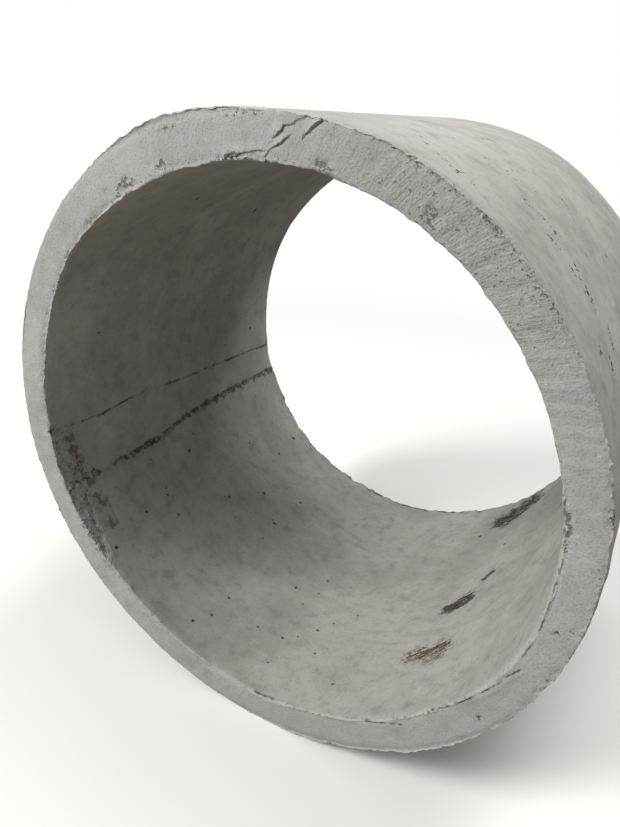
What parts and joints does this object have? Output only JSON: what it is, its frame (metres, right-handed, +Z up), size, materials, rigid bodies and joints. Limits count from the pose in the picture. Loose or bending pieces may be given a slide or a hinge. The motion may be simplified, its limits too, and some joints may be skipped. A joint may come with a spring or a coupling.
{
  "type": "concrete pipe ring",
  "caption": "Short precast concrete sewer or culvert pipe ring with plain butt ends, lying on its side; rings stand end to end to make a pipe line or a shaft.",
  "frame": {"origin": "on the ground, under the middle of the ring", "axes": "+Y along the bore towards the far end, which stood on the pallet when the ring was cast; +Z up; +X to the right seen from the near end"},
  "size_m": [1.36, 1, 1.3599],
  "materials": {
    "concrete": "rough, mould-cast grey concrete"
  },
  "bodies": {
    "root": {"pipe": "concrete"}
  },
  "joints": []
}
